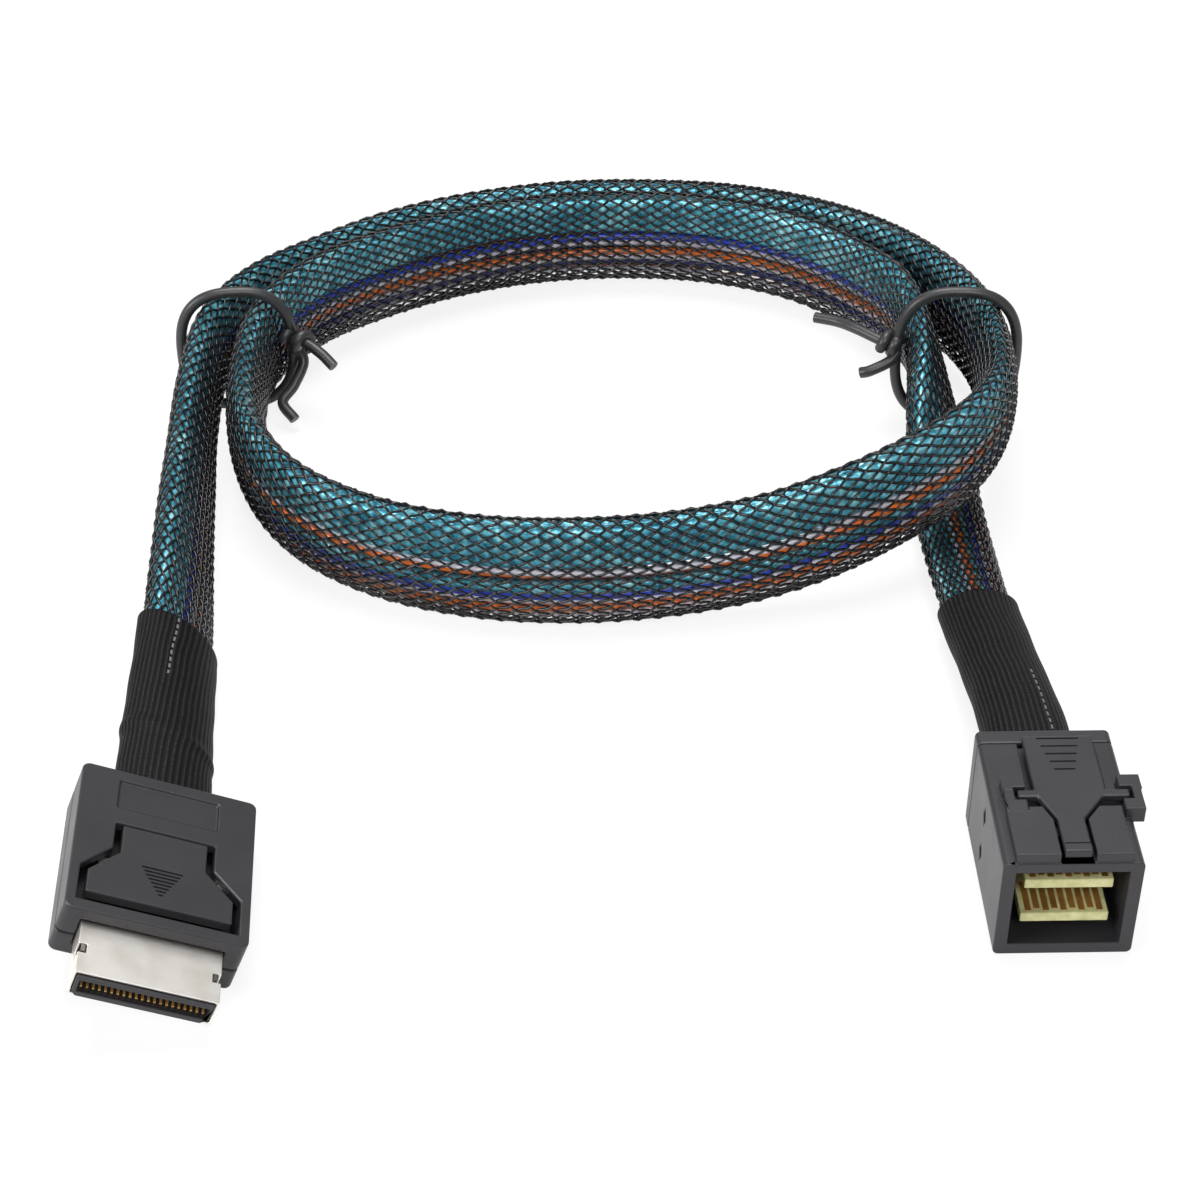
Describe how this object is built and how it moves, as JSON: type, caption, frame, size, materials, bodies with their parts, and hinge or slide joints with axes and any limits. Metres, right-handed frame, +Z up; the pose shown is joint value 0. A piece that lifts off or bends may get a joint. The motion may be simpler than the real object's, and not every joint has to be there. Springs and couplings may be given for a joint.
{
  "type": "internal server data cable",
  "caption": "Short braided flat data cable wound in a coil with two twist ties, a flat shielded plug at one end and a tall two-card plug at the other.",
  "frame": {"origin": "middle of the tall plug's underside, on the surface that the cable lies on", "axes": "+Z up, +Y from the tall plug's open mouth back along its cable, +X to the right seen from the mouth"},
  "size_m": [0.0928, 0.1282, 0.0176],
  "materials": {
    "black_plastic": "satin black moulded plastic",
    "nickel": "nickel-plated sheet",
    "gold": "gold-plated contacts",
    "board": "pale yellow-green circuit board",
    "tape": "black cloth tape",
    "braid": "black braided monofilament sleeve",
    "teal_foil": "shiny teal film over paired wires",
    "white_wire": "grey-white wire insulation",
    "orange_wire": "orange wire insulation",
    "blue_wire": "blue wire insulation",
    "navy_wire": "dark blue wire insulation",
    "tie_rubber": "soft black coating over a wire core"
  },
  "bodies": {
    "cable": {"oculink_top_cover": "black_plastic", "oculink_bottom_cover": "black_plastic", "oculink_metal_shell": "nickel", "oculink_nose_insulator": "black_plastic", "oculink_contact_row": "gold", "oculink_paddle_card": "board", "sas_housing": "black_plastic", "sas_rear_cap": "black_plastic", "sas_paddle_card_upper": "board", "sas_paddle_card_lower": "board", "sas_card_holder": "black_plastic", "cable_sleeve": "braid", "oculink_tape_wrap": "tape", "sas_tape_wrap": "tape", "twinax_ribbon_outer": "teal_foil", "twinax_ribbon_inner": "teal_foil", "side_wire_white_outer": "white_wire", "side_wire_orange_outer": "orange_wire", "side_pair_teal_outer": "teal_foil", "side_wire_blue_outer": "blue_wire", "side_wire_orange_low": "orange_wire", "side_wire_blue_inner": "blue_wire", "side_wire_white_inner": "white_wire", "side_wire_orange_inner": "orange_wire", "side_wire_navy_inner": "navy_wire", "tie_left": "tie_rubber", "tie_right": "tie_rubber"},
    "release_tab": {"oculink_release_tab": "black_plastic", "oculink_latch_spring": "nickel"},
    "latch_lever": {"sas_latch_lever": "black_plastic"}
  },
  "joints": [
    {"name": "release_tab_press", "type": "hinge", "parent": "cable", "child": "release_tab", "pos_m": [-0.07536, 0.00013, 0.00733], "axis": [0.9233, 0.0484, -0.3811], "range_deg": [0, 3.5], "stiffness_Nm_per_rad": 0.02},
    {"name": "latch_lever_press", "type": "hinge", "parent": "cable", "child": "latch_lever", "pos_m": [0, 0, 0.0109], "axis": [-1, 0, 0], "range_deg": [0, 5], "stiffness_Nm_per_rad": 0.02}
  ]
}
